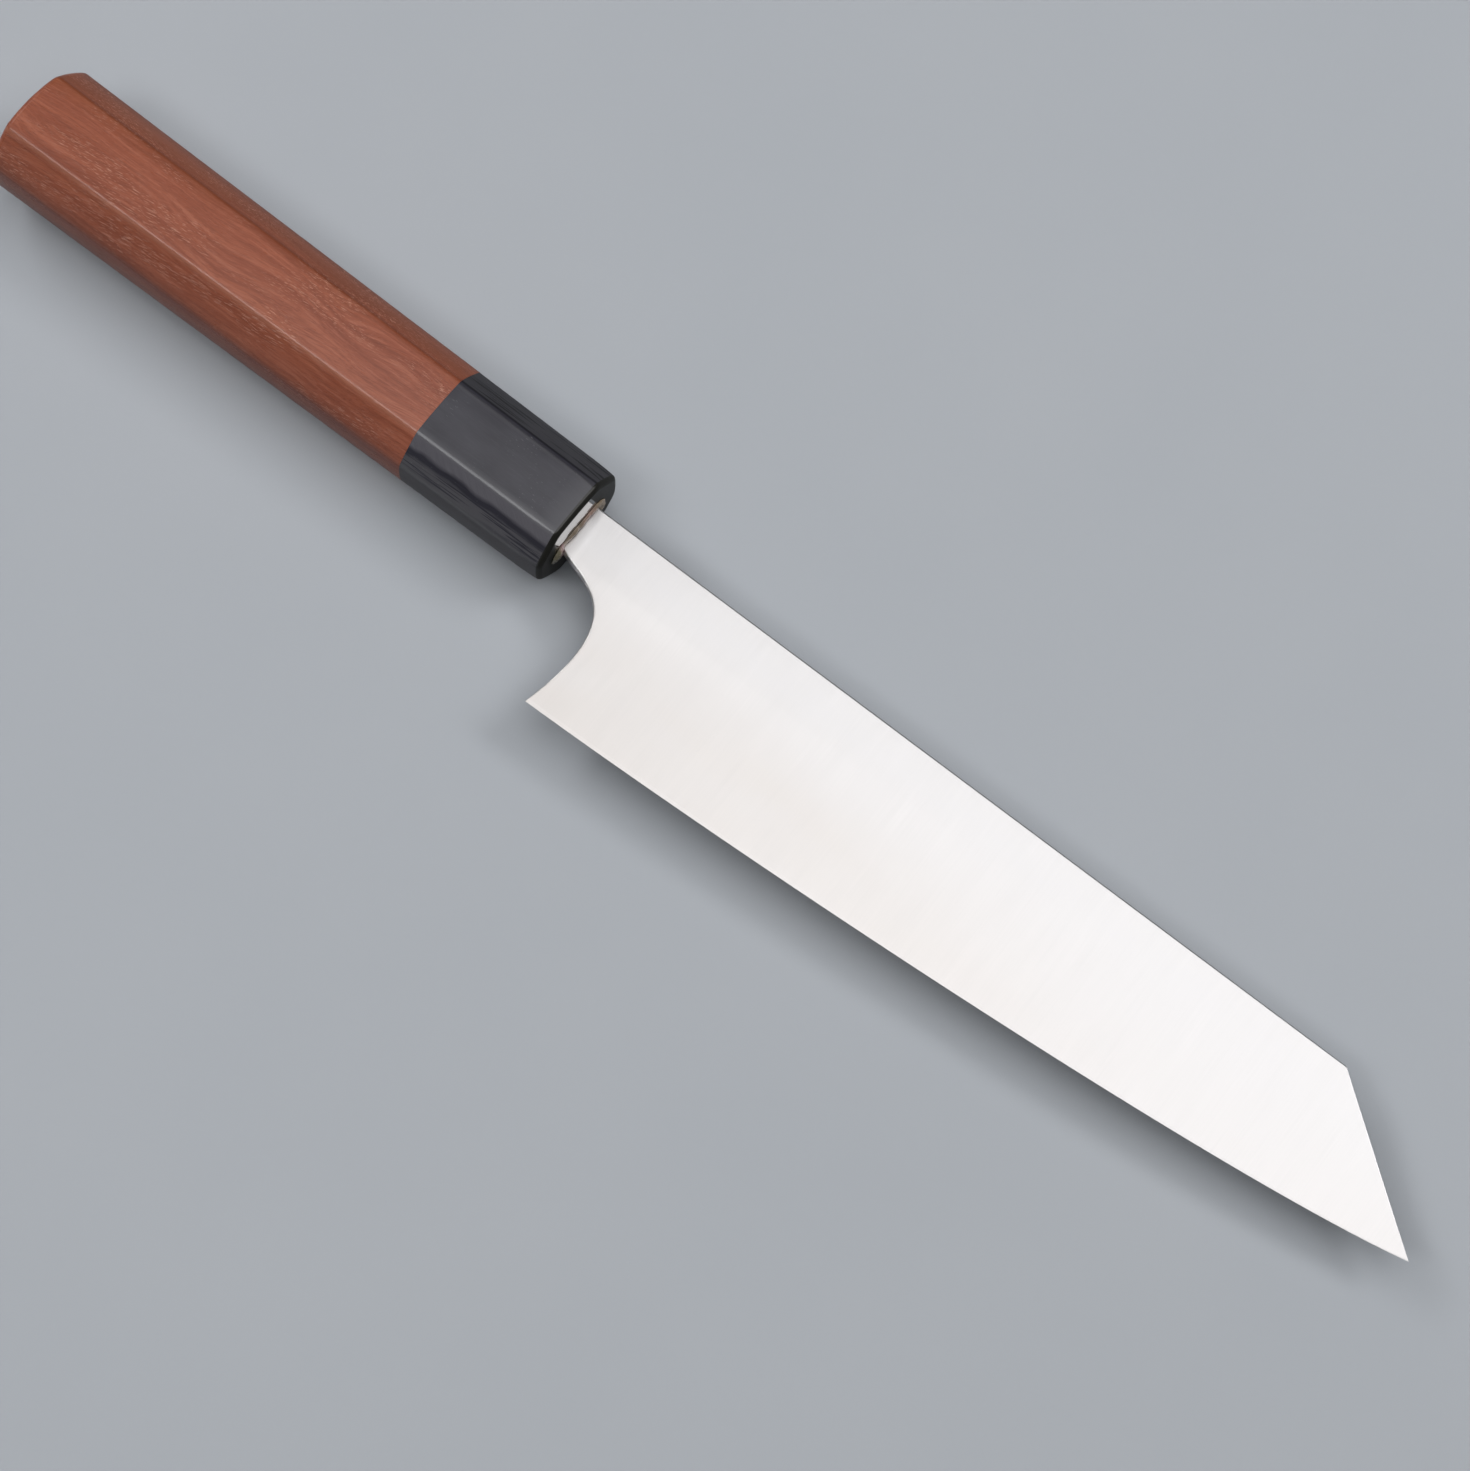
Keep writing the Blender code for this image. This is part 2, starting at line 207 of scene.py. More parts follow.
upper_half = rows_from_rim(1.3 * spine_easing, neck_height / 2, rim_steps=7, steps=5)
lower_half = rows_from_rim(1.3 * choil_easing_at_neck, neck_height / 2, rim_steps=6, steps=4)
neck_rows = [neck_part * s / 2 for s in upper_half]
neck_rows += [neck_part * (1 - s / 2) for s in reversed(lower_half[:-1])]
blade_rows = neck_rows + [
    mix(neck_part, shoulder_part, i / choil_rows) for i in range(1, choil_rows + 1)] + [1.0]
rear_half = rows_from_rim(
    1.4 * choil_easing_at_neck, half_blade_length, rim_steps=9, steps=60)
front_half = rows_from_rim(1.5 * clip_easing, half_blade_length, rim_steps=5, steps=60)
blade_columns = [u / 2 for u in rear_half] + [1 - u / 2 for u in reversed(front_half[:-1])]


def add_mirrored_side(bm):
    """Closes one side of the blade with its mirror image; the cutting edge is shared."""
    mirror = {}
    for vert in list(bm.verts):
        on_edge = vert.co.z == 0.0
        mirror[vert] = vert if on_edge else bm.verts.new((vert.co.x, vert.co.y, -vert.co.z))
    rim = [edge for edge in bm.edges if edge.is_boundary]
    sharp = [edge for edge in bm.edges if not edge.smooth]
    for face in list(bm.faces):
        bm.faces.new([mirror[vert] for vert in reversed(face.verts)])
    for edge in rim:
        a, b = edge.verts
        ring = list(dict.fromkeys((a, b, mirror[b], mirror[a])))
        if len(ring) > 2:
            bm.faces.new(ring)
    for edge in sharp:
        twin = bm.edges.get([mirror[vert] for vert in edge.verts])
        twin.smooth = False


def finished_object(name, bm, lay=knife_lay):
    """A closed, smooth-shaded object with its place in its mesh, laid down as the knife lies."""
    bmesh.ops.recalc_face_normals(bm, faces=bm.faces)
    for face in bm.faces:
        face.smooth = True
    bm.transform(lay)
    mesh = bpy.data.meshes.new(name)
    bm.to_mesh(mesh)
    bm.free()
    piece = bpy.data.objects.new(name, mesh)
    bpy.context.scene.collection.objects.link(piece)
    return piece


def make_blade():
    bm = bmesh.new()
    columns = []
    for i in range(tang_columns):
        share = 1 - i / tang_columns
        points = [tang_dot(share, v) for v in neck_rows]
        columns.append([(p.x, p.y, side_half(p, v)) for p, v in zip(points, neck_rows)])
    for u in blade_columns:
        points = [blade_point(u, v) for v in blade_rows]
        halves = [side_half(p, v) for p, v in zip(points, blade_rows)]
        halves[-1] = 0.0
        columns.append([(p.x, p.y, half) for p, half in zip(points, halves)])
    grid = [[bm.verts.new(dot) for dot in column] for column in columns]
    for left, right in zip(grid, grid[1:]):
        for r in range(min(len(left), len(right)) - 1):
            bm.faces.new((left[r], left[r + 1], right[r + 1], right[r]))

    # The cutting edge and the second bevel's upper line stay crisp.
    for left, right in zip(grid[tang_columns:], grid[tang_columns + 1:]):
        for r in (-1, -2):
            bm.edges.get((left[r], right[r])).smooth = False
    add_mirrored_side(bm)
    return finished_object("blade_with_tang", bm)


blade = make_blade()


def feed(tree, socket, value):
    """Gives a node's socket a value, or links another node's output to it."""
    if isinstance(value, bpy.types.NodeSocket):
        tree.links.new(value, socket)
    else:
        socket.default_value = value


def add_node(tree, kind, sockets=(), **settings):
    node = tree.nodes.new(kind)
    for name, value in settings.items():
        setattr(node, name, value)
    for name, value in dict(sockets).items():
        feed(tree, node.inputs[name], value)
    return node


def start_finish(name):
    """A node material for one finish, with its node tree and shader."""
    finish = bpy.data.materials.new(name)
    finish.use_nodes = True
    return finish, finish.node_tree, finish.node_tree.nodes["Principled BSDF"]


def marks(tree, size, detail=2.0, roughness=0.5, place=(0.0, 0.0, 0.0), vector=None):
    """Noise from 0 to 1 whose marks have about this size, in metres along X, Y and Z."""
    if vector is None:
        vector = add_node(tree, "ShaderNodeTexCoord").outputs["Object"]
    mapping = add_node(tree, "ShaderNodeMapping", {
        "Vector": vector, "Scale": [1 / length for length in size], "Location": place,
    })
    texture = add_node(tree, "ShaderNodeTexNoise", {
        "Vector": mapping.outputs["Vector"], "Scale": 1.0, "Detail": detail,
        "Roughness": roughness,
    })
    return texture.outputs["Fac"]


def ranged(tree, value, low, high, to_low=0.0, to_high=1.0):
    """Spreads the part of a value between low and high over another range."""
    node = add_node(tree, "ShaderNodeMapRange", {
        "Value": value, "From Min": low, "From Max": high, "To Min": to_low, "To Max": to_high,
    })
    return node.outputs["Result"]


def calc(tree, operation, a, b=0.0):
    node = add_node(tree, "ShaderNodeMath", operation=operation)
    feed(tree, node.inputs[0], a)
    feed(tree, node.inputs[1], b)
    return node.outputs["Value"]


def both(tree, mask, other):
    """1 where both masks are 1, and less where either is less."""
    return calc(tree, "MULTIPLY", mask, other)


def blend(tree, share, first, second, most=1.0):
    """Lays the second colour over the first by a mask's share, and at most by this much."""
    if most < 1.0:
        share = both(tree, share, most)
    node = add_node(tree, "ShaderNodeMix", data_type="RGBA")
    for place, value in ((0, share), (6, first), (7, second)):
        if isinstance(value, tuple) and len(value) == 3:
            value = (*value, 1.0)
        feed(tree, node.inputs[place], value)
    return node.outputs[2]


def relief(tree, height, depth, strength, below=None):
    """Bump from a height that runs from 0 to 1 over this depth in metres."""
    node = add_node(tree, "ShaderNodeBump", {
        "Height": height, "Distance": depth, "Strength": strength,
    })
    if below is not None:
        feed(tree, node.inputs["Normal"], below)
    return node.outputs["Normal"]


def object_place(tree):
    """Where a point of the piece lies in the shared frame, as X, Y and Z in metres."""
    coords = add_node(tree, "ShaderNodeTexCoord").outputs["Object"]
    return add_node(tree, "ShaderNodeSeparateXYZ", {"Vector": coords}).outputs


def satin_steel():
    """Steel ground across its length, warmer low on the heel half, with painted reflection and
    shade beside the mouth and a spine darkened partly as dull steel and partly as painted shade.
    """
    finish, tree, shader = start_finish("satin_steel")
    grind = marks(tree, (0.00012, 0.012, 0.012), detail=3.0, roughness=0.6)
    haze = marks(tree, (0.045, 0.016, 0.016), detail=2.0, place=(3.1, 0.7, 0.0))
    place = object_place(tree)
    towards_heel = ranged(tree, place["X"], 0.21, 0.10, 0.25, 1.0)
    color = blend(tree, towards_heel, steel_by_tip, steel_by_heel)
    towards_edge = ranged(tree, place["Y"], -0.001, -0.016)
    warm = both(tree, both(tree, towards_edge, towards_heel),
                ranged(tree, haze, 0.3, 0.6, 0.6, 1.0))
    color = blend(tree, warm, color, warm_steel)
    # Painted reflection of the resin bead and painted shade tint the steel just ahead of the
    # mouth.
    mouth_reflection_shade = ranged(tree, place["X"], ferrule_face.x + 0.0009, ferrule_face.x, 0.0, 0.4)
    color = blend(tree, mouth_reflection_shade, color, mouth_reflection_shade_brown)
    color = blend(tree, ranged(tree, grind, 0.3, 0.7, 0.0, 0.12), color, grinding_grey)
    # The spine darkens towards the tip: partly dull unground steel, partly painted shade.
    spine_edge = spine_rise - spine_easing
    on_spine = ranged(tree, place["Y"], spine_edge, mix(spine_edge, spine_rise, 0.6))
    towards_tip = ranged(tree, place["X"], 0.10, 0.22, 0.15, 0.65)
    color = blend(tree, both(tree, on_spine, towards_tip), color, dull_shaded_spine_grey)
    feed(tree, shader.inputs["Base Color"], color)
    feed(tree, shader.inputs["Roughness"], ranged(tree, grind, 0.3, 0.7, 0.30, 0.38))
    feed(tree, shader.inputs["Normal"], relief(tree, grind, 0.000004, 0.35))
    shader.inputs["Metallic"].default_value = 1.0
    return finish


blade.data.materials.append(satin_steel())
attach(blade, "root")
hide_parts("blade")

# Core dowel
# A turned hardwood dowel, glued into blind bores of the ferrule and the handle body, which it
# lines up. Its saw kerf takes the tang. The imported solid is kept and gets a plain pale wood.

dowel_brown = (0.62, 0.46, 0.28)
dowel_yellow = (0.70, 0.54, 0.35)
dowel_fibre_brown = (0.42, 0.28, 0.15)


def pale_dowel_wood():
    finish, tree, shader = start_finish("pale_dowel_wood")
    fibres = marks(tree, (0.02, 0.0004, 0.0004), detail=4.0, roughness=0.6)
    bands = marks(tree, (0.09, 0.003, 0.003), detail=2.0)
    color = blend(tree, ranged(tree, bands, 0.35, 0.65), dowel_brown, dowel_yellow)
    color = blend(tree, ranged(tree, fibres, 0.45, 0.7, 0.0, 0.5), color, dowel_fibre_brown)
    feed(tree, shader.inputs["Base Color"], color)
    feed(tree, shader.inputs["Roughness"], ranged(tree, fibres, 0.3, 0.7, 0.55, 0.7))
    feed(tree, shader.inputs["Normal"], relief(tree, fibres, 0.00004, 0.6))
    return finish


dowel_wood = pale_dowel_wood()
for packed_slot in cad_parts["core_dowel"].material_slots:
    packed_slot.material = dowel_wood

# Ferrule
# An eight-sided block of black wood at the front of the handle, cut from the same taper as the
# handle body and glued tight against it. Its front edge is rounded, its face is polished above
# the neck, and a slot in the face takes the neck.

front_height = 0.0210
front_thickness = 0.0178
corner_cut_height = 0.00475       # what each corner cut takes off the height
corner_cut_thickness = 0.0055     # and off the thickness
ridge_bevel = 0.00078             # width that sanding has broken off each ridge
ridge_sharpness = 320.0           # how crisply the sides meet, as the power of their mean
flat_crown = 0.30                 # from 0, dead flat sides, to 1, an ellipse
hand_ripple = 0.002               # how deep the hand-made ripple is, as a share
ripples_per_metre = 220.0
ripple_lengthening = 0.4          # less than 1 draws the ripples out along the handle
weld_distance = 0.000002
butt_height = 0.0233
butt_thickness = 0.0201
handle_length = 0.1175
butt_radius_over_height = 0.047
butt_radius_over_thickness = 0.052
butt_skew = 0.039                 # the butt is sawn a little out of square
butt_crown_start = -0.1155
ferrule_length = 0.0291
front_rounding = 0.0009
front_softening_length = 0.0045   # over which the ridges melt away towards the front
front_drop = 0.00012              # and what the flats fall there
front_sharpness = 150.0
front_crown = 0.27
face_roughness = 0.5
polished_roughness = 0.10
dowel_front_depth = 0.0062
glue_gap = 0.0003                 # left all round the dowel
dowel_radius = 0.0055
slot_height = 0.0126
slot_thickness = 0.0047
cutter_overrun = 0.001            # how far a cutter runs past the face that it opens
section_dots = 480
sanding_slant = math.radians(33)
deep_black = (0.019, 0.018, 0.026)
soft_black = (0.025, 0.024, 0.034)
black_fibre_grey = (0.048, 0.046, 0.056)
near_highlight_grey = (0.066, 0.065, 0.074)
ridge_highlight_grey = (0.115, 0.114, 0.123)
crest_highlight_grey = (0.13, 0.13, 0.14)
far_ridge_sheen_grey = (0.052, 0.051, 0.056)
far_side_sheen_grey = (0.037, 0.036, 0.041)
dark_reflection_and_grain_black = (0.004, 0.004, 0.005)
near_cut_sheen_grey = (0.108, 0.104, 0.118)
near_cut_reflection_grey = (0.068, 0.066, 0.074)
pore_grey = (0.16, 0.16, 0.17)
narrow_flat_reflection_grey = (0.072, 0.070, 0.075)
front_end_dark_reflection_black = (0.015, 0.0145, 0.0125)

bore_radius = dowel_radius + glue_gap
wide_flat_half = front_height / 2 - corner_cut_height
height_growth = (butt_height / front_height - 1) / handle_length
thickness_growth = (butt_thickness / front_thickness - 1) / handle_length


def section_sides(bevel_width):
    """Each side of a quarter of the section as (0, y, z): its product with a point there is 1."""
    cut = Vector((0.0, corner_cut_thickness, corner_cut_height)).normalized()
    wide_corner = Vector((0.0, wide_flat_half, front_thickness / 2))
    narrow_corner = Vector((0.0, front_height / 2, front_thickness / 2 - corner_cut_thickness))
    narrow_flat = Vector((0.0, 1.0, 0.0))
    wide_flat = Vector((0.0, 0.0, 1.0))
    sides = [(narrow_flat, narrow_corner, 0.0), (wide_flat, wide_corner, 0.0),
             (cut, wide_corner, 0.0)]
    for flat, corner in ((narrow_flat, narrow_corner), (wide_flat, wide_corner)):
        bevel = (flat + cut).normalized()
        inset = bevel_width / 2 * math.tan(flat.angle(cut) / 2)
        sides.append((bevel, corner, inset))
    return [normal / (normal.dot(corner) - inset) for normal, corner, inset in sides]


def tree_nodes_for_a_stretch():
    """Geometry Nodes tree that sweeps the handle's eight-sided section along its stations."""
    tree = bpy.data.node_groups.new("eight_sided_stretch", "GeometryNodeTree")
    tree.is_modifier = True
    given = tree.interface
    given.new_socket("Stations", in_out="INPUT", socket_type="NodeSocketGeometry")
    for name in side_names:
        given.new_socket(name, in_out="INPUT", socket_type="NodeSocketVector")
    for name in ("Height Growth", "Thickness Growth", "Crown Start", "Crown Radius over Height",
                 "Crown Radius over Thickness", "Crown Skew", "Ripple"):
        given.new_socket(name, in_out="INPUT", socket_type="NodeSocketFloat")
    given.new_socket("Section Dots", in_out="INPUT", socket_type="NodeSocketInt")
    given.new_socket("Finish", in_out="INPUT", socket_type="NodeSocketMaterial")
    given.new_socket("Stretch", in_out="OUTPUT", socket_type="NodeSocketGeometry")
    group_in = tree.nodes.new("NodeGroupInput").outputs
    group_out = tree.nodes.new("NodeGroupOutput")

    def times(a, b):
        return calc(tree, "MULTIPLY", a, b)

    def over(a, b):
        return calc(tree, "DIVIDE", a, b)

    def plus(a, b):
        return calc(tree, "ADD", a, b)

    def at_station(name):
        node = add_node(tree, "GeometryNodeInputNamedAttribute", {
            "Name": name,
        }, data_type="FLOAT")
        return node.outputs["Attribute"]

    def split(vector):
        return add_node(tree, "ShaderNodeSeparateXYZ", {"Vector": vector}).outputs

    def position():
        return add_node(tree, "GeometryNodeInputPosition").outputs["Position"]

    round_section = add_node(tree, "GeometryNodeCurvePrimitiveCircle", {
        "Resolution": group_in["Section Dots"], "Radius": 0.01,
    })
    path = add_node(tree, "GeometryNodeMeshToCurve", {"Mesh": group_in["Stations"]})
    level = add_node(tree, "GeometryNodeSetCurveNormal", {
        "Curve": path.outputs["Curve"],
    }, mode="Z_UP")
    sweep = add_node(tree, "GeometryNodeCurveToMesh", {
        "Curve": level.outputs["Curve"], "Profile Curve": round_section.outputs["Curve"],
        "Scale": at_station("section_share"), "Fill Caps": True,
    })

    # A dot's share of the way to each side: the largest alone gives the sharp section, and
    # their power mean gives one whose sides meet softly.
    away = add_node(tree, "ShaderNodeVectorMath", {0: position()}, operation="ABSOLUTE")
    shares = []
    for name in side_names:
        share = add_node(tree, "ShaderNodeVectorMath", {
            0: away.outputs["Vector"], 1: group_in[name],
        }, operation="DOT_PRODUCT")
        shares.append(share.outputs["Value"])
    sharp = shares[0]
    for share in shares[1:]:
        sharp = calc(tree, "MAXIMUM", sharp, share)
    power = at_station("ridge_sharpness")
    total = 0.0
    for share in shares:
        total = plus(calc(tree, "POWER", over(share, sharp), power), total)
    met = over(calc(tree, "POWER", total, over(-1.0, power)), sharp)
    oval = over(calc(tree, "SQRT", plus(times(shares[0], shares[0]), times(
        shares[1], shares[1]))), sharp)
    crowned = plus(times(calc(tree, "SUBTRACT", oval, 1.0), at_station("flat_crown")), 1.0)
    here = split(position())
    stretched = add_node(tree, "ShaderNodeCombineXYZ", {
        "X": times(here["X"], ripple_lengthening), "Y": here["Y"], "Z": here["Z"],
    })
    waves = add_node(tree, "ShaderNodeTexNoise", {
        "Vector": stretched.outputs["Vector"], "Scale": ripples_per_metre, "Detail": 1.0,
    })
    rippled = calc(tree, "SUBTRACT", 1.0, times(waves.outputs["Fac"], group_in["Ripple"]))
    reach = times(times(over(met, crowned), rippled), at_station("section_share"))
    back = times(here["X"], -1.0)
    shaped = add_node(tree, "ShaderNodeCombineXYZ", {
        "X": here["X"],
        "Y": times(times(here["Y"], reach), plus(times(back, group_in["Height Growth"]), 1.0)),
        "Z": times(times(here["Z"], reach), plus(times(back, group_in["Thickness Growth"]), 1.0)),
    })
    taper = add_node(tree, "GeometryNodeSetPosition", {
        "Geometry": sweep.outputs["Mesh"], "Position": shaped.outputs["Vector"],
    })

    # The butt's crown sets its face back towards the rim, and its skew turns the face a little.
    here = split(position())
    over_height = over(times(here["Y"], here["Y"]), group_in["Crown Radius over Height"])
    over_thickness = over(times(here["Z"], here["Z"]), group_in["Crown Radius over Thickness"])
    sag = over(plus(over_height, over_thickness), 2.0)
    skewed = plus(sag, times(here["Y"], group_in["Crown Skew"]))
    at_butt = calc(tree, "LESS_THAN", here["X"], group_in["Crown Start"])
    shift = add_node(tree, "ShaderNodeCombineXYZ", {"X": times(skewed, at_butt)})
    crown = add_node(tree, "GeometryNodeSetPosition", {
        "Geometry": taper.outputs["Geometry"], "Offset": shift.outputs["Vector"],
    })
    merged = add_node(tree, "GeometryNodeMergeByDistance", {
        "Geometry": crown.outputs["Geometry"], "Distance": weld_distance,
    })
    real = add_node(tree, "GeometryNodeRealizeInstances", {
        "Geometry": merged.outputs["Geometry"],
    })
    finished = add_node(tree, "GeometryNodeSetMaterial", {
        "Geometry": real.outputs["Geometry"], "Material": group_in["Finish"],
    })
    feed(tree, group_out.inputs["Stretch"], finished.outputs["Geometry"])
    return tree


side_names = ("Narrow Flat", "Wide Flat", "Corner Cut", "Narrow Bevel", "Wide Bevel")
stretch_tree = tree_nodes_for_a_stretch()


def even_stations(x_back, x_front, step):
    """Stations of the full section, about one step apart from back to front."""
    count = max(1, round((x_front - x_back) / step))
    return [(mix(x_back, x_front, i / count), 1.0, ridge_sharpness, flat_crown)
            for i in range(count + 1)]


def as_plain_mesh(piece, name):
    """Replaces what a piece's modifiers make by a plain mesh, and removes them."""
    evaluated = piece.evaluated_get(bpy.context.evaluated_depsgraph_get())
    mesh = bpy.data.meshes.new_from_object(evaluated)
    mesh.name = name
    piece.modifiers.clear()
    piece.data = mesh


def cut_away(piece, bm):
    """Cuts a closed shape out of a piece."""
    cutter = finished_object("cutter", bm, lay=Matrix.Identity(4))
    boolean = piece.modifiers.new("cut", "BOOLEAN")
    boolean.operation = "DIFFERENCE"
    boolean.solver = "EXACT"
    boolean.object = cutter
    as_plain_mesh(piece, piece.name)
    bpy.data.objects.remove(cutter)


def eight_sided_stretch(name, stations, bevel_width, finish):
    """Sweeps stations of position, share of the section, ridge sharpness and flat crown."""
    path = bpy.data.meshes.new(name)
    dots = [(station[0], 0.0, 0.0) for station in stations]
    path.from_pydata(dots, [(i, i + 1) for i in range(len(dots) - 1)], [])
    for place, kind in enumerate(("section_share", "ridge_sharpness", "flat_crown"), start=1):
        values = path.attributes.new(kind, "FLOAT", "POINT")
        values.data.foreach_set("value", [station[place] for station in stations])
    piece = bpy.data.objects.new(name, path)
    bpy.context.scene.collection.objects.link(piece)
    modifier = piece.modifiers.new("stretch", "NODES")
    modifier.node_group = stretch_tree
    given = dict(zip(side_names, section_sides(bevel_width)))
    given.update({
        "Height Growth": height_growth, "Thickness Growth": thickness_growth,
        "Crown Start": butt_crown_start, "Crown Radius over Height": butt_radius_over_height,
        "Crown Radius over Thickness": butt_radius_over_thickness, "Crown Skew": butt_skew,
        "Ripple": hand_ripple, "Section Dots": section_dots, "Finish": finish,
    })
    for item in stretch_tree.interface.items_tree:
        if item.name in given:
            modifier[item.identifier] = given[item.name]
    as_plain_mesh(piece, name)
    bm = bmesh.new()
    bm.from_mesh(piece.data)
    bmesh.ops.recalc_face_normals(bm, faces=bm.faces)
    for face in bm.faces:
        face.smooth = True
    bm.to_mesh(piece.data)
    bm.free()
    return piece


def round_bar(x_back, x_front, radius):
    """A closed round bar along the handle's middle line."""
    bm = bmesh.new()
    place = Matrix.Translation(((x_back + x_front) / 2, 0.0, 0.0))
    bmesh.ops.create_cone(
        bm, cap_ends=True, segments=48, radius1=radius, radius2=radius, depth=x_front - x_back,
        matrix=place @ Matrix.Rotation(math.pi / 2, 4, "Y"),
    )
    return bm


def slot_outline(height, thickness, count):
    """Points (y, z) round a slot with round ends, evenly spaced, centred on the neck."""
    radius = thickness / 2
    reach = height / 2 - radius
    half_way = 2 * reach + math.pi * radius
    points = []
    for i in range(count):
        side, run = divmod(i / count * 2, 1.0)
        run *= half_way
        if run < reach:
            y, z = run, radius
        elif run < reach + math.pi * radius:
            angle = (run - reach) / radius
            y, z = reach + radius * math.sin(angle), radius * math.cos(angle)
        else:
            y, z = reach - (run - reach - math.pi * radius), -radius
        if side:
            y, z = -y, -z
        points.append((neck_middle + y, z))
    return points


def straight_through(outline, x_back, x_front):
    """A closed bar with this outline across."""
    bm = bmesh.new()
    back = [bm.verts.new((x_back, y, z)) for y, z in outline]
    front = [bm.verts.new((x_front, y, z)) for y, z in outline]
    for i in range(len(outline)):
        j = (i + 1) % len(outline)
        bm.faces.new((back[i], back[j], front[j], front[i]))
    bm.faces.new(back)
    bm.faces.new(front)
    return bm


def lay_down(piece):
    """Lays a handle piece as the knife lies and lets its flats stay flat in shading."""
    piece.data.transform(knife_lay)
    piece.data.set_sharp_from_angle(angle=math.radians(30))
    normals = piece.modifiers.new("even_flats", "WEIGHTED_NORMAL")
    normals.keep_sharp = True


def place_on_handle(tree):
    """Distance behind the ferrule's face, height towards the spine, and depth under the top."""
    place = object_place(tree)
    back = calc(tree, "SUBTRACT", ferrule_face.x, place["X"])
    rise = calc(tree, "MULTIPLY", back, 2 * math.tan(knife_lean))
    top = calc(tree, "ADD", rise, front_thickness)
    return back, place["Y"], calc(tree, "SUBTRACT", top, place["Z"])


def on_ridge(tree, back, side, reach):
    """1 on a ridge beside the wide flats, falling to 0 at this distance from it."""
    growth = calc(tree, "ADD", calc(tree, "MULTIPLY", back, height_growth), 1.0)
    ridge = calc(tree, "MULTIPLY", growth, wide_flat_half)
    return ranged(tree, calc(tree, "ABSOLUTE", calc(tree, "SUBTRACT", side, ridge)), reach, 0.0)


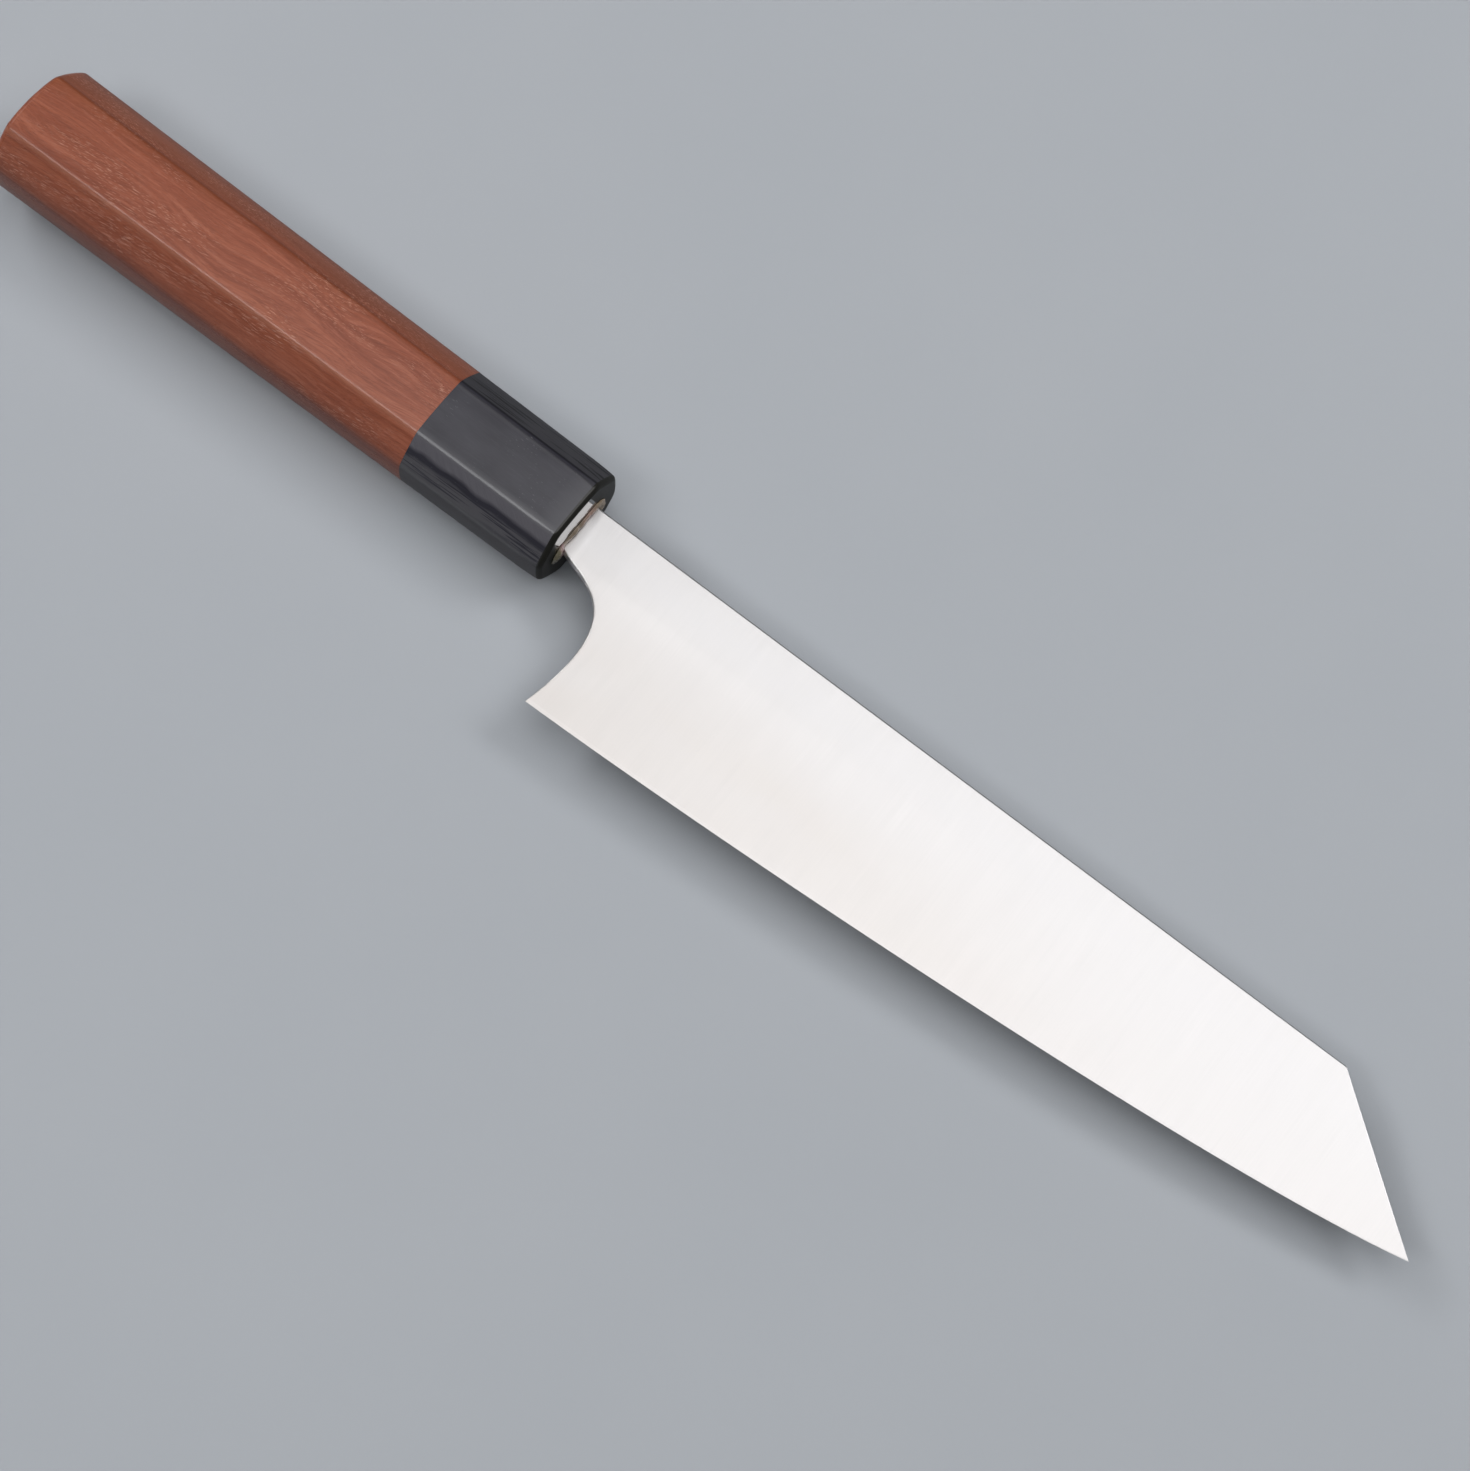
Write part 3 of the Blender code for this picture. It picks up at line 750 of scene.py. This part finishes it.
def black_wood(name, roughness, shine):
    """Black wood with grain lines, a few pale pores, and painted highlights, sheen and
    reflections.
    """
    finish, tree, shader = start_finish(name)
    lines = marks(tree, (0.016, 0.00045, 0.00045), detail=2.0, roughness=0.6)
    fibres = marks(tree, (0.004, 0.00016, 0.00016), detail=3.0, roughness=0.6)
    mottle = marks(tree, (0.010, 0.004, 0.004), detail=3.0, place=(0.0, 4.0, 9.0))
    pores = marks(tree, (0.0008, 0.00012, 0.00012), detail=1.0, place=(5.0, 2.0, 1.0))
    patches = marks(tree, (0.006, 0.004, 0.004), detail=1.0, place=(2.0, 6.0, 3.0))
    color = blend(tree, ranged(tree, mottle, 0.35, 0.65), deep_black, soft_black)
    color = blend(tree, ranged(tree, fibres, 0.5, 0.7, 0.0, 0.25), color, black_fibre_grey)

    # Painted highlights pale the near ridge and the front end of the top.
    back, side, depth = place_on_handle(tree)
    near_side = calc(tree, "MULTIPLY", side, -1.0)
    front_end_highlight = both(tree, ranged(tree, back, 0.0048, 0.0015, 0.0, 0.7),
                    ranged(tree, depth, 0.0020, 0.0004))
    near_highlight = calc(tree, "MAXIMUM", on_ridge(tree, back, near_side, 0.0016), front_end_highlight)
    near_highlight = both(tree, near_highlight, ranged(tree, mottle, 0.2, 0.6, 0.6, 1.0))
    color = blend(tree, near_highlight, color, near_highlight_grey, most=0.7)
    ridge_highlight = both(tree, on_ridge(tree, back, near_side, 0.0014),
                  ranged(tree, back, 0.020, 0.002, 0.25, 1.0))
    color = blend(tree, ridge_highlight, color, ridge_highlight_grey, most=0.7)
    crest = on_ridge(tree, back, near_side, 0.0005)
    color = blend(tree, crest, color, crest_highlight_grey, most=0.6)
    # Painted sheen lightens the strip beside the far ridge and the far side.
    beside_far_ridge = on_ridge(tree, back, calc(tree, "ADD", side, 0.0008), 0.0007)
    color = blend(tree, beside_far_ridge, color, far_ridge_sheen_grey, most=0.6)
    far_side = ranged(tree, side, 0.0056, 0.0061)
    color = blend(tree, far_side, color, far_side_sheen_grey)
    # A painted dark reflection lines the far ridge, and the far side's grain shows dark lines.
    far_lines = both(tree, far_side, ranged(tree, lines, 0.46, 0.39))
    dark_reflection_and_grain = calc(tree, "MAXIMUM", on_ridge(tree, back, side, 0.0003), far_lines)
    color = blend(tree, dark_reflection_and_grain, color, dark_reflection_and_grain_black, most=0.8)

    # Painted sheen pales the near corner cut under the ridge, crossed by slanting sanding marks,
    # and a painted reflection pales it above the lower ridge, crossed by dark grain lines.
    sway = marks(tree, (0.007, 0.004, 0.004), detail=2.0, place=(7.0, 1.0, 4.0))
    level = calc(tree, "ADD", calc(tree, "DIVIDE", depth, corner_cut_thickness),
                 ranged(tree, sway, 0.0, 1.0, -0.12, 0.12))
    near = ranged(tree, side, -0.0055, -0.0062)
    slant = add_node(tree, "ShaderNodeMapping", {
        "Vector": add_node(tree, "ShaderNodeTexCoord").outputs["Object"],
        "Rotation": (0.0, 0.0, sanding_slant),
    }).outputs["Vector"]
    sanding = marks(tree, (0.003, 0.0003, 0.01), detail=3.0, vector=slant)
    near_cut_sheen = both(tree, ranged(tree, level, 0.04, 0.12), ranged(tree, level, 0.46, 0.36))
    near_cut_sheen = both(tree, both(tree, near, near_cut_sheen),
                      ranged(tree, sanding, 0.30, 0.62, 0.84, 1.0))
    color = blend(tree, near_cut_sheen, color, near_cut_sheen_grey)
    near_cut_reflection = both(tree, ranged(tree, level, 0.55, 0.64), ranged(tree, level, 1.00, 0.92))
    near_cut_reflection = both(tree, both(tree, near, near_cut_reflection), ranged(tree, lines, 0.40, 0.47))
    color = blend(tree, near_cut_reflection, color, near_cut_reflection_grey)

    # A few pale pores, the narrow flat's painted reflection and the front end's painted dark
    # reflection lie over all of it.
    speck = both(tree, ranged(tree, pores, 0.70, 0.76), ranged(tree, patches, 0.50, 0.62))
    color = blend(tree, speck, color, pore_grey, most=0.6)
    color = blend(tree, ranged(tree, side, -0.0098, -0.0103), color, narrow_flat_reflection_grey)
    # The front end's near black is painted dark reflection.
    front_end = ranged(tree, back, front_rounding, front_rounding - 0.0001)
    color = blend(tree, front_end, color, front_end_dark_reflection_black)
    feed(tree, shader.inputs["Base Color"], color)
    rough = ranged(tree, mottle, 0.35, 0.65, roughness + 0.04, roughness - 0.02)
    feed(tree, shader.inputs["Roughness"], calc(tree, "SUBTRACT", rough, both(tree, crest, 0.08)))
    grooved = relief(tree, both(tree, lines, far_side), 0.00003, 0.6)
    feed(tree, shader.inputs["Normal"], relief(tree, fibres, 0.000005, 0.4, below=grooved))
    shader.inputs["Specular IOR Level"].default_value = shine
    return finish


def face_black_wood():
    """The front face: polished above the neck, where it mirrors the blade, and dull elsewhere."""
    finish = black_wood("face_black_wood", face_roughness, shine=0.20)
    tree = finish.node_tree
    shader = tree.nodes["Principled BSDF"]
    side, depth = place_on_handle(tree)[1:]
    slanting_end = calc(tree, "ADD", side, calc(tree, "MULTIPLY", depth, -0.3))
    over_neck = both(tree, ranged(tree, side, -0.0064, -0.0060), both(
        tree, ranged(tree, slanting_end, 0.0029, 0.0027), ranged(tree, depth, 0.0086, 0.0080)))
    feed(tree, shader.inputs["Roughness"], ranged(
        tree, over_neck, 0.0, 1.0, face_roughness, polished_roughness))
    feed(tree, shader.inputs["Coat Weight"], over_neck)
    shader.inputs["Coat Roughness"].default_value = 0.06
    return finish


def front_stations(softening_steps, rounding_steps):
    """The last stations before the face: ridges melt away, then the edge is rounded over."""
    stations = []
    for i in range(1, softening_steps + 1):
        t = i / softening_steps
        soft = soft_step(t)
        share = 1 - 2 * front_drop * t * t / front_thickness
        x = mix(-front_rounding - front_softening_length, -front_rounding, t)
        stations.append((x, share, mix(ridge_sharpness, front_sharpness, soft),
                         mix(flat_crown, front_crown, soft)))
    full = stations[-1][1]
    for i in range(1, rounding_steps + 1):
        angle = math.pi / 2 * i / rounding_steps
        share = full - 2 * front_rounding * (1 - math.cos(angle)) / front_thickness
        x = -front_rounding * (1 - math.sin(angle))
        stations.append((x, share, front_sharpness, front_crown))
    return stations


def less_polished(face):
    """The far side and the near narrow flat are duller than the rest."""
    return face.normal.y > 0.3 or face.normal.y < -0.95


ferrule = eight_sided_stretch(
    "ferrule_block",
    even_stations(-ferrule_length, -front_rounding - front_softening_length, step=0.0015)
    + front_stations(softening_steps=12, rounding_steps=14),
    ridge_bevel, black_wood("black_wood", roughness=0.20, shine=0.42),
)
cut_away(ferrule, round_bar(
    -ferrule_length - cutter_overrun, glue_gap - dowel_front_depth, bore_radius))
cut_away(ferrule, straight_through(
    slot_outline(slot_height, slot_thickness, count=96), -dowel_front_depth, cutter_overrun))
ferrule.data.materials.append(face_black_wood())
ferrule.data.materials.append(black_wood("dull_black_wood", roughness=0.42, shine=0.08))

# The flat face has its own finish, and the rounding round it is dull.
for face in ferrule.data.polygons:
    if face.center.x > -front_rounding and face.normal.x > 0.3:
        face.material_index = 1 if face.normal.x > 0.97 else 2
    elif less_polished(face):
        face.material_index = 2
lay_down(ferrule)
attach(ferrule, "root")
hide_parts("ferrule")

# Handle body
# An eight-sided, slightly tapered block of red-brown wood with open pores, oiled to a satin
# sheen. It is bored from the front for the dowel, and its butt end is crowned with an eased rim.

butt_depth = 0.11746              # depth of the butt's middle behind the ferrule's face
butt_easing = 0.001
butt_wall = 0.0215                # solid wood behind the dowel
wood_ridge_bevel = 0.00042
joint = 0.00002                   # what a tight glued joint shows
plain_end = 0.005                 # the straight end before the butt needs no stations
grain_lean = math.radians(2.6)    # how the fibres lean against the handle's line
grain_turn = math.radians(-7)
dark_red_brown = (0.228, 0.061, 0.032)
light_red_brown = (0.318, 0.097, 0.053)
dark_streak_brown = (0.13, 0.034, 0.018)
pale_streak_brown = (0.40, 0.145, 0.090)
fibre_brown = (0.13, 0.030, 0.015)
far_side_shade_brown = (0.155, 0.038, 0.011)
lower_shade_brown = (0.11, 0.030, 0.017)
open_pore_tan = (0.60, 0.31, 0.22)
far_ridge_reflection_brown = (0.08, 0.020, 0.010)
near_ridge_highlight_tan = (0.42, 0.20, 0.14)


def along_grain(tree, vector):
    """Turns a pattern so that it runs with the wood's fibres, a little across the handle."""
    turned = add_node(tree, "ShaderNodeMapping", {
        "Vector": vector, "Rotation": (0.0, grain_lean, grain_turn),
    })
    return turned.outputs["Vector"]


def red_brown_wood(name, shine):
    """Red-brown wood with bands, streaks, fibres and pale open pores along its grain."""
    finish, tree, shader = start_finish(name)
    coords = add_node(tree, "ShaderNodeTexCoord").outputs["Object"]
    sway = marks(tree, (0.026, 0.010, 0.010), detail=1.0, place=(1.3, 0.4, 2.2))
    offset = add_node(tree, "ShaderNodeCombineXYZ", {
        "Y": ranged(tree, sway, 0.0, 1.0, -0.0035, 0.0035),
        "Z": ranged(tree, sway, 0.0, 1.0, 0.0015, -0.0015),
    })
    wavy = add_node(tree, "ShaderNodeVectorMath", {
        0: coords, 1: offset.outputs["Vector"],
    }, operation="ADD").outputs["Vector"]
    bands = marks(tree, (0.06, 0.0028, 0.0028), detail=3.0, roughness=0.6, vector=wavy)
    fibres = marks(tree, (0.006, 0.00017, 0.00017), detail=4.0, roughness=0.7,
                   vector=along_grain(tree, wavy))
    pores = marks(tree, (0.0024, 0.00010, 0.00010), detail=1.0, place=(4.0, 7.0, 2.0),
                  vector=along_grain(tree, coords))
    patches = marks(tree, (0.020, 0.005, 0.005), detail=2.0, place=(0.5, 3.0, 8.0))
    pore = both(tree, ranged(tree, pores, 0.62, 0.68),
                ranged(tree, patches, 0.46, 0.60, 0.12, 1.0))
    streaks = marks(tree, (0.014, 0.00060, 0.00060), detail=3.0, roughness=0.6, vector=wavy)
    color = blend(tree, ranged(tree, bands, 0.35, 0.65), dark_red_brown, light_red_brown)
    color = blend(tree, ranged(tree, streaks, 0.50, 0.62, 0.0, 0.24), color, dark_streak_brown)
    color = blend(tree, ranged(tree, streaks, 0.46, 0.36, 0.0, 0.35), color, pale_streak_brown)
    color = blend(tree, ranged(tree, fibres, 0.5, 0.66, 0.0, 0.55), color, fibre_brown)

    # Painted shade darkens the far side and the lower part of the handle, a painted dark
    # reflection lines the far ridge, and a painted highlight pales the near ridge.
    wavy_side = add_node(tree, "ShaderNodeSeparateXYZ", {"Vector": wavy}).outputs["Y"]
    far_side = ranged(tree, wavy_side, 0.0035, 0.0075, 0.0, 0.62)
    color = blend(tree, far_side, color, far_side_shade_brown)
    back, side, depth = place_on_handle(tree)
    lower_shade = ranged(tree, depth, 0.0042, 0.0056, 0.0, 0.45)
    color = blend(tree, lower_shade, color, lower_shade_brown)
    color = blend(tree, pore, color, open_pore_tan, most=0.7)
    color = blend(tree, on_ridge(tree, back, side, 0.0007), color, far_ridge_reflection_brown, most=0.5)
    near_ridge = on_ridge(tree, back, calc(tree, "MULTIPLY", side, -1.0), 0.0007)
    color = blend(tree, near_ridge, color, near_ridge_highlight_tan, most=0.35)
    feed(tree, shader.inputs["Base Color"], color)
    rough = ranged(tree, fibres, 0.35, 0.7, 0.27, 0.36)
    feed(tree, shader.inputs["Roughness"], calc(
        tree, "SUBTRACT", rough, both(tree, near_ridge, 0.15)))
    open_pores = relief(tree, pore, -0.00006, 0.6)
    feed(tree, shader.inputs["Normal"], relief(tree, fibres, 0.000012, 0.4, below=open_pores))
    shader.inputs["Specular IOR Level"].default_value = shine
    return finish


def butt_stations(rounding_steps, face_steps):
    """Stations round the butt's eased rim and over its face, from the sides to the middle."""
    stations = []
    for i in range(rounding_steps, -1, -1):
        angle = math.pi / 2 * i / rounding_steps
        share = 1 - 2 * butt_easing * (1 - math.sin(angle)) / butt_thickness
        stations.append((-butt_depth + butt_easing * (1 - math.cos(angle)), share))
    rim_share = stations[-1][1]
    for i in range(1, face_steps):
        stations.append((-butt_depth, rim_share * (1 - i / face_steps)))

    # The last ring is nearly closed, and the sweep's cap closes it.
    stations.append((-butt_depth, 0.002))
    return [(x, share, ridge_sharpness, flat_crown) for x, share in stations]


body = eight_sided_stretch(
    "handle_block",
    list(reversed(even_stations(plain_end - butt_depth, -ferrule_length - joint, step=0.0022)))
    + butt_stations(rounding_steps=8, face_steps=12),
    wood_ridge_bevel, red_brown_wood("red_brown_wood", shine=0.42),
)
cut_away(body, round_bar(
    butt_wall - handle_length - glue_gap, -ferrule_length + cutter_overrun, bore_radius))
body.data.materials.append(red_brown_wood("dull_red_brown_wood", shine=0.15))
for face in body.data.polygons:
    if less_polished(face) or face.normal.x < -0.06:
        face.material_index = 1
lay_down(body)
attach(body, "root")
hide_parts("handle_body")

# Mouth resin
# Brown filler, poured into the slot round the neck and left to set as a lumpy glossy bead. It
# keeps water out of the handle.

bead_height = 0.00036
blob_height = 0.00025             # what the ends of the slot stand above the rest of the bead
bead_smear = 0.0009               # how much further it has run at the choil's end
bead_overlap = 0.00035            # how far the resin has crept over the ferrule's face
bead_foot = 0.00002               # what its thinnest place stands above the face
bead_play = 0.0001                # what keeps it off the slot's wall and the neck
large_lumps_per_metre = 520
small_lumps_per_metre = 1500
bead_dots = 240
bead_steps = 10
resin_brown = (0.20, 0.155, 0.11)
resin_tan = (0.32, 0.25, 0.19)
rosy_resin = (0.36, 0.23, 0.19)
olive_resin = (0.22, 0.175, 0.11)
red_resin = (0.34, 0.21, 0.20)
dark_resin = (0.15, 0.135, 0.09)


def make_bead():
    """A lumpy ring of resin between the slot's wall and the neck."""
    bm = bmesh.new()
    rings = []

    def add_ring(height, thickness, x_of, smear=0.0):
        lowest = neck_middle - height / 2
        ring = []
        for y, z in slot_outline(height, thickness, bead_dots):
            run = smear * soft_step(max(0.0, 1 - (y - lowest) / (0.3 * height)))
            ring.append(bm.verts.new((x_of(y, z), y - run, z)))
        rings.append(ring)

    def before_dowel(y, z):
        return glue_gap - dowel_front_depth

    def lumps(y, z):
        large = noise.noise(Vector((y, z, 0.001)) * large_lumps_per_metre)
        small = noise.noise(Vector((z, y, 0.004)) * small_lumps_per_metre)
        return 1 + 0.55 * large + 0.25 * small

    wall = slot_height - bead_play, slot_thickness - bead_play
    crown = slot_height + 2 * bead_overlap, slot_thickness + 2 * bead_overlap
    neck = neck_height + bead_play, spine_thickness_neck + bead_play
    add_ring(*wall, before_dowel)
    add_ring(*wall, lambda y, z: -bead_play / 2)

    # From the ferrule's face the bead swells steeply, and it falls off again towards the neck.
    for step in range(bead_steps + 1):
        s = step / bead_steps
        swell = math.sin(math.pi * mix(0.03, 0.80, s)) ** 0.7

        def crest(y, z):
            beyond = (abs(y - neck_middle) - neck_height / 2) / (slot_height - neck_height) * 2
            blob = blob_height * min(1.0, max(0.0, beyond + 0.3))
            return bead_foot + swell * (bead_height + blob) * lumps(y, z)

        add_ring(mix(crown[0], neck[0], s), mix(crown[1], neck[1], s), crest,
                 smear=bead_smear * (1 - s))
    add_ring(*neck, before_dowel)
    rings.append(rings[0])
    for first, second in zip(rings, rings[1:]):
        for i in range(bead_dots):
            j = (i + 1) % bead_dots
            bm.faces.new((first[i], first[j], second[j], second[i]))
    return finished_object("neck_bead", bm)


def brown_resin():
    """Clouded resin, rosier beside the neck and darker at the slot's two ends."""
    finish, tree, shader = start_finish("brown_resin")
    clouds = marks(tree, (0.0011, 0.0011, 0.0011), detail=3.0)
    side = place_on_handle(tree)[1]
    color = blend(tree, ranged(tree, clouds, 0.35, 0.65), resin_brown, resin_tan)
    color = blend(tree, ranged(tree, side, 0.0000, 0.0022, 0.0, 0.8), color, rosy_resin)
    color = blend(tree, ranged(tree, side, 0.0030, 0.0045, 0.0, 0.8), color, olive_resin)
    red_spot = both(tree, ranged(tree, side, -0.0053, -0.0048),
                    ranged(tree, side, -0.0039, -0.0044))
    color = blend(tree, red_spot, color, red_resin)
    color = blend(tree, ranged(tree, side, -0.0052, -0.0057, 0.0, 0.9), color, dark_resin)
    feed(tree, shader.inputs["Base Color"], color)
    feed(tree, shader.inputs["Roughness"], ranged(tree, clouds, 0.3, 0.7, 0.18, 0.30))
    feed(tree, shader.inputs["Normal"], relief(tree, clouds, 0.0001, 0.6))
    return finish


bead = make_bead()
bead.data.materials.append(brown_resin())
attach(bead, "root")
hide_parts("mouth_resin")

# Table, lights and camera
# A plain matt grey table under four softboxes that hang a metre above it: a wide one over the
# knife, which the blade mirrors, one to the near left, which the ridges mirror, and two beyond.
# The room is dim, with pale walls behind the table.

table_half_width = 2.0
softbox_height = 1.0
table_grey = (0.383, 0.405, 0.436)
light_table_grey = (0.393, 0.414, 0.444)
wall_grey = (0.36, 0.37, 0.38)
ceiling_grey = (0.04, 0.04, 0.04)


def make_table():
    bm = bmesh.new()
    bmesh.ops.create_grid(bm, x_segments=1, y_segments=1, size=table_half_width)
    table = finished_object("table", bm, lay=Matrix.Identity(4))
    finish, tree, shader = start_finish("matt_grey_table")
    clouds = marks(tree, (0.05, 0.05, 0.05), detail=3.0)
    color = blend(tree, ranged(tree, clouds, 0.3, 0.7), table_grey, light_table_grey)
    feed(tree, shader.inputs["Base Color"], color)
    shader.inputs["Roughness"].default_value = 0.75
    shader.inputs["Specular IOR Level"].default_value = 0.2
    table.data.materials.append(finish)
    return table


make_table()


def softbox(name, x, y, width, depth, radiance):
    """A rectangular light that hangs over the table and shines straight down."""
    light = bpy.data.lights.new(name, "AREA")
    light.shape = "RECTANGLE"
    light.size = width
    light.size_y = depth
    light.energy = radiance * math.pi * width * depth
    lamp = bpy.data.objects.new(name, light)
    lamp.location = (x, y, softbox_height)
    bpy.context.scene.collection.objects.link(lamp)


softbox("overhead_softbox", x=0.255, y=0.09, width=1.03, depth=1.04, radiance=1.84)
softbox("near_softbox", x=-0.32, y=-0.60, width=0.72, depth=0.36, radiance=4.9)
softbox("left_softbox", x=-1.28, y=0.15, width=0.4, depth=1.00, radiance=12.2)
softbox("right_softbox", x=0.80, y=0.86, width=0.8, depth=0.43, radiance=8.0)

world = bpy.data.worlds.new("studio")
world.use_nodes = True
room = world.node_tree
up = add_node(room, "ShaderNodeSeparateXYZ", {
    "Vector": add_node(room, "ShaderNodeTexCoord").outputs["Generated"],
}).outputs["Z"]
pale_walls = blend(room, ranged(room, up, 0.05, 0.30), wall_grey, ceiling_grey)
feed(room, room.nodes["Background"].inputs["Color"], pale_walls)
bpy.context.scene.world = world

lens = bpy.data.cameras.new("camera")
lens.lens = 87.859
lens.sensor_width = 36.0
lens.sensor_fit = "HORIZONTAL"
lens.clip_start = 0.01
camera = bpy.data.objects.new("camera", lens)
camera.location = (0.20343, -0.16117, 0.56170)
camera.rotation_euler = [math.radians(a) for a in (17.2707, -2.1778, 37.6216)]
bpy.context.scene.collection.objects.link(camera)
bpy.context.scene.camera = camera
bpy.context.scene.view_settings.view_transform = "Standard"
